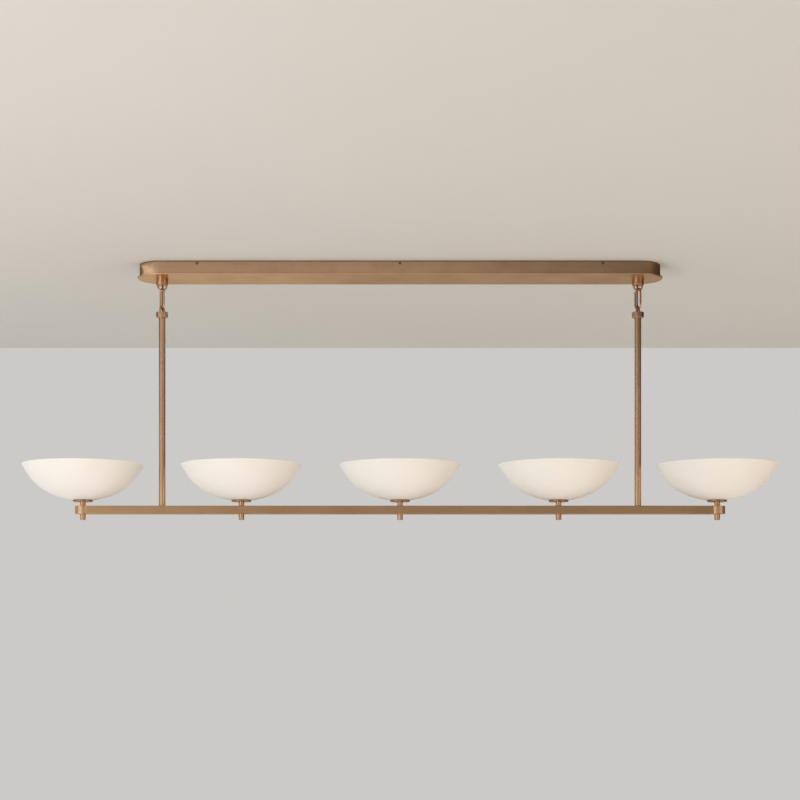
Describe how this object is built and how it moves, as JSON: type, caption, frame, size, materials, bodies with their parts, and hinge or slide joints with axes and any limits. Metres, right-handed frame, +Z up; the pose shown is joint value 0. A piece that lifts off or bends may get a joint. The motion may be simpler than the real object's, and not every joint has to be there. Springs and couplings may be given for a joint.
{
  "type": "linear island pendant",
  "caption": "Long ceiling pendant: a round-ended canopy, links and rods that carry a level bar of open opal glass bowls.",
  "frame": {"origin": "middle of the ceiling face: the centre of the canopy and of its bracket, on the ceiling plane", "axes": "+Z up into the ceiling, +X along the bar to the right as seen from the front, front faces -Y"},
  "size_m": [1.8278, 0.2918, 0.6168],
  "materials": {
    "satin_brass": "satin, brushed",
    "zinc_steel": "zinc plated",
    "dark_screws": "darkened",
    "green_screw": "painted",
    "connector_plastic": "moulded",
    "gasket_rubber": "matt",
    "brown_cord": "sheathed",
    "lead_sleeve": "sheathed",
    "opal_glass": "etched opal, nearly opaque",
    "bulb_glass": "frosted",
    "ceramic": "glazed ceramic"
  },
  "bodies": {
    "ceiling_group": {"mounting_plate": "zinc_steel", "bracket_rails": "zinc_steel", "canopy": "satin_brass", "canopy_screws": "dark_screws", "earth_screw": "green_screw", "wire_connectors": "connector_plastic", "loop_nuts": "zinc_steel", "loop_washers": "zinc_steel", "left_boss": "satin_brass", "right_boss": "satin_brass", "left_canopy_loop": "satin_brass", "right_canopy_loop": "satin_brass", "left_supply_lead": "lead_sleeve", "right_supply_lead": "lead_sleeve"},
    "left_link_group": {"left_link": "satin_brass", "left_supply_cord": "brown_cord"},
    "right_link_group": {"right_link": "satin_brass", "right_supply_cord": "brown_cord"},
    "hanging_frame": {"bar": "satin_brass", "bar_lead": "lead_sleeve", "bowl_1": "opal_glass", "bowl_2": "opal_glass", "bowl_3": "opal_glass", "bowl_4": "opal_glass", "bowl_5": "opal_glass", "bowl_nuts": "zinc_steel", "bowl_washers": "satin_brass", "bulb_1": "bulb_glass", "bulb_2": "bulb_glass", "bulb_3": "bulb_glass", "bulb_4": "bulb_glass", "bulb_5": "bulb_glass", "disc_1": "satin_brass", "disc_2": "satin_brass", "disc_3": "satin_brass", "disc_4": "satin_brass", "disc_5": "satin_brass", "finial_1": "satin_brass", "finial_2": "satin_brass", "finial_3": "satin_brass", "finial_4": "satin_brass", "finial_5": "satin_brass", "lampholder_1": "ceramic", "lampholder_2": "ceramic", "lampholder_3": "ceramic", "lampholder_4": "ceramic", "lampholder_5": "ceramic", "left_end_drum": "satin_brass", "left_rod": "satin_brass", "left_rod_loop": "satin_brass", "lower_gaskets": "gasket_rubber", "necks": "satin_brass", "right_end_drum": "satin_brass", "right_rod": "satin_brass", "right_rod_loop": "satin_brass", "rod_nipples": "satin_brass", "rod_nuts": "zinc_steel", "stem_nipples": "satin_brass", "upper_gaskets": "gasket_rubber"}
  },
  "joints": [
    {"name": "left_link_swing", "type": "hinge", "parent": "ceiling_group", "child": "left_link_group", "pos_m": [-0.576, 0, -0.06105], "axis": [1, 0, 0], "range_deg": [-30, 30], "deforming": ["left_supply_cord"]},
    {"name": "right_link_swing", "type": "hinge", "parent": "ceiling_group", "child": "right_link_group", "pos_m": [0.576, 0, -0.06105], "axis": [1, 0, 0], "range_deg": [-30, 30], "deforming": ["right_supply_cord"]},
    {"name": "frame_swing", "type": "hinge", "parent": "left_link_group", "child": "hanging_frame", "pos_m": [-0.576, 0, -0.09985], "axis": [1, 0, 0], "range_deg": [-12, 12]}
  ],
  "couplings": [
    {"joint": "right_link_swing", "follows": "left_link_swing", "ratio": 1}
  ]
}
